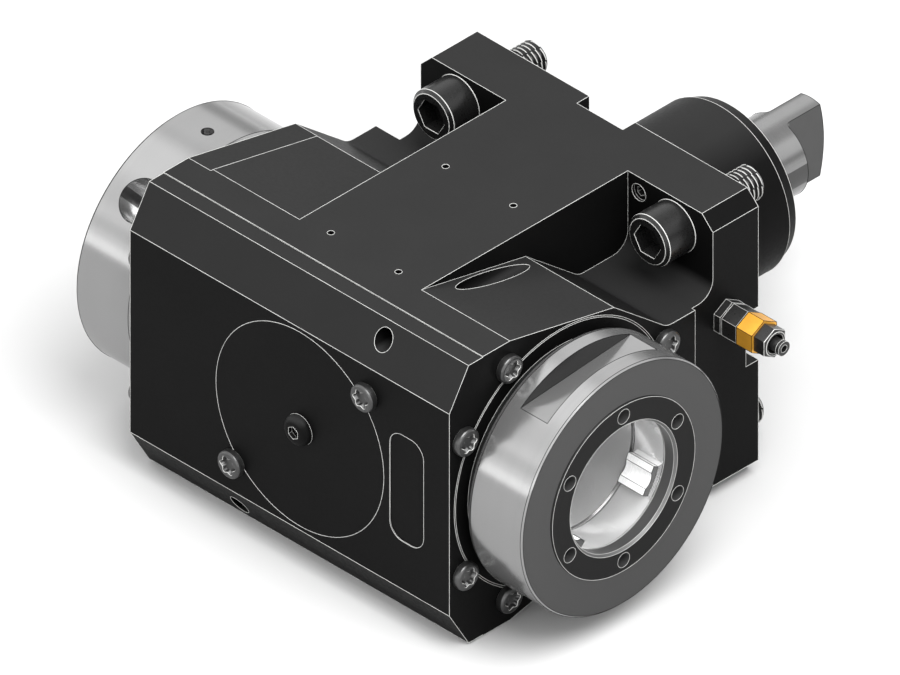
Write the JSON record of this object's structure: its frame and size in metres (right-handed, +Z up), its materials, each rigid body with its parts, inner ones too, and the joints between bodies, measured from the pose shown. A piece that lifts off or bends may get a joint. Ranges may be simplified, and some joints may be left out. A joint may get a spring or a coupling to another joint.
{
  "type": "radial driven tool holder",
  "caption": "Double-sided angle head for a lathe turret: flange, round shank and tang drive, and a hollow cross spindle with steel rings at both ends, driven through bevel gears.",
  "frame": {"origin": "centre of the mounting face, on the axis of the shank", "axes": "+Y along the shank into the turret, +X along the output spindle to its keyed end, +Z up"},
  "size_m": [0.1944, 0.2268, 0.105],
  "materials": {
    "black_steel": "black oxide, satin",
    "black_hardware": "black oxide, satin",
    "turned_steel": "fine turned",
    "ground_steel": "ground",
    "screw_steel": "zinc plated",
    "brass": "machined",
    "nickel": "nickel plated",
    "seal_rubber": "matt",
    "gasket": "matt"
  },
  "bodies": {
    "holder": {"housing": "black_steel", "right_bearing_cover": "black_steel", "left_bearing_cover": "black_steel", "front_cover": "black_steel", "front_cover_gasket": "gasket", "right_cover_screws": "screw_steel", "left_cover_screws": "screw_steel", "front_cover_screws": "screw_steel", "centre_plug_screw": "black_hardware", "mounting_bolts": "black_hardware", "alignment_set_screws": "black_hardware", "right_spindle_seal": "seal_rubber", "left_spindle_seal": "seal_rubber", "shaft_seal": "seal_rubber", "right_bearing_outer_race": "ground_steel", "left_bearing_outer_race": "ground_steel", "shaft_front_bearing_outer_race": "ground_steel", "shaft_rear_bearing_outer_race": "ground_steel", "shaft_outer_spacer": "turned_steel", "shank_circlip": "black_hardware", "coolant_adapter": "black_hardware", "coolant_union_nut": "brass", "coolant_lock_nut": "nickel", "coolant_nozzle": "black_hardware", "coolant_inlet_seal": "seal_rubber"},
    "spindle": {"spindle": "ground_steel", "bevel_gear": "ground_steel", "gear_key": "ground_steel", "gear_spacer": "turned_steel", "right_bearing_inner_race": "ground_steel", "left_bearing_inner_race": "ground_steel", "output_ring": "turned_steel", "retaining_ring": "black_hardware", "drive_keys": "ground_steel", "clamp_ring": "turned_steel", "clamp_set_screw": "black_hardware"},
    "drive_shaft": {"drive_shaft": "ground_steel", "bevel_pinion": "ground_steel", "pinion_key": "ground_steel", "pinion_screw": "black_hardware", "shaft_front_bearing_inner_race": "ground_steel", "shaft_rear_bearing_inner_race": "ground_steel", "shaft_inner_spacer": "turned_steel", "shaft_circlip": "black_hardware"},
    "right_ball_set": {"right_bearing_balls": "ground_steel"},
    "left_ball_set": {"left_bearing_balls": "ground_steel"},
    "shaft_front_ball_set": {"shaft_front_bearing_balls": "ground_steel"},
    "shaft_rear_ball_set": {"shaft_rear_bearing_balls": "ground_steel"}
  },
  "joints": [
    {"name": "spindle_spin", "type": "hinge", "parent": "holder", "child": "spindle", "pos_m": [0, -0.0877, 0], "axis": [1, 0, 0], "continuous": true},
    {"name": "drive_shaft_spin", "type": "hinge", "parent": "holder", "child": "drive_shaft", "pos_m": [0, 0, 0], "axis": [0, 1, 0], "continuous": true},
    {"name": "right_balls_spin", "type": "hinge", "parent": "holder", "child": "right_ball_set", "pos_m": [0, -0.0877, 0], "axis": [1, 0, 0], "continuous": true},
    {"name": "left_balls_spin", "type": "hinge", "parent": "holder", "child": "left_ball_set", "pos_m": [0, -0.0877, 0], "axis": [1, 0, 0], "continuous": true},
    {"name": "shaft_front_balls_spin", "type": "hinge", "parent": "holder", "child": "shaft_front_ball_set", "pos_m": [0, 0, 0], "axis": [0, 1, 0], "continuous": true},
    {"name": "shaft_rear_balls_spin", "type": "hinge", "parent": "holder", "child": "shaft_rear_ball_set", "pos_m": [0, 0, 0], "axis": [0, 1, 0], "continuous": true}
  ],
  "couplings": [
    {"joint": "drive_shaft_spin", "follows": "spindle_spin", "ratio": 2},
    {"joint": "right_balls_spin", "follows": "spindle_spin", "ratio": 0.4483},
    {"joint": "left_balls_spin", "follows": "spindle_spin", "ratio": 0.4483},
    {"joint": "shaft_front_balls_spin", "follows": "spindle_spin", "ratio": 0.8675},
    {"joint": "shaft_rear_balls_spin", "follows": "spindle_spin", "ratio": 0.8675}
  ]
}
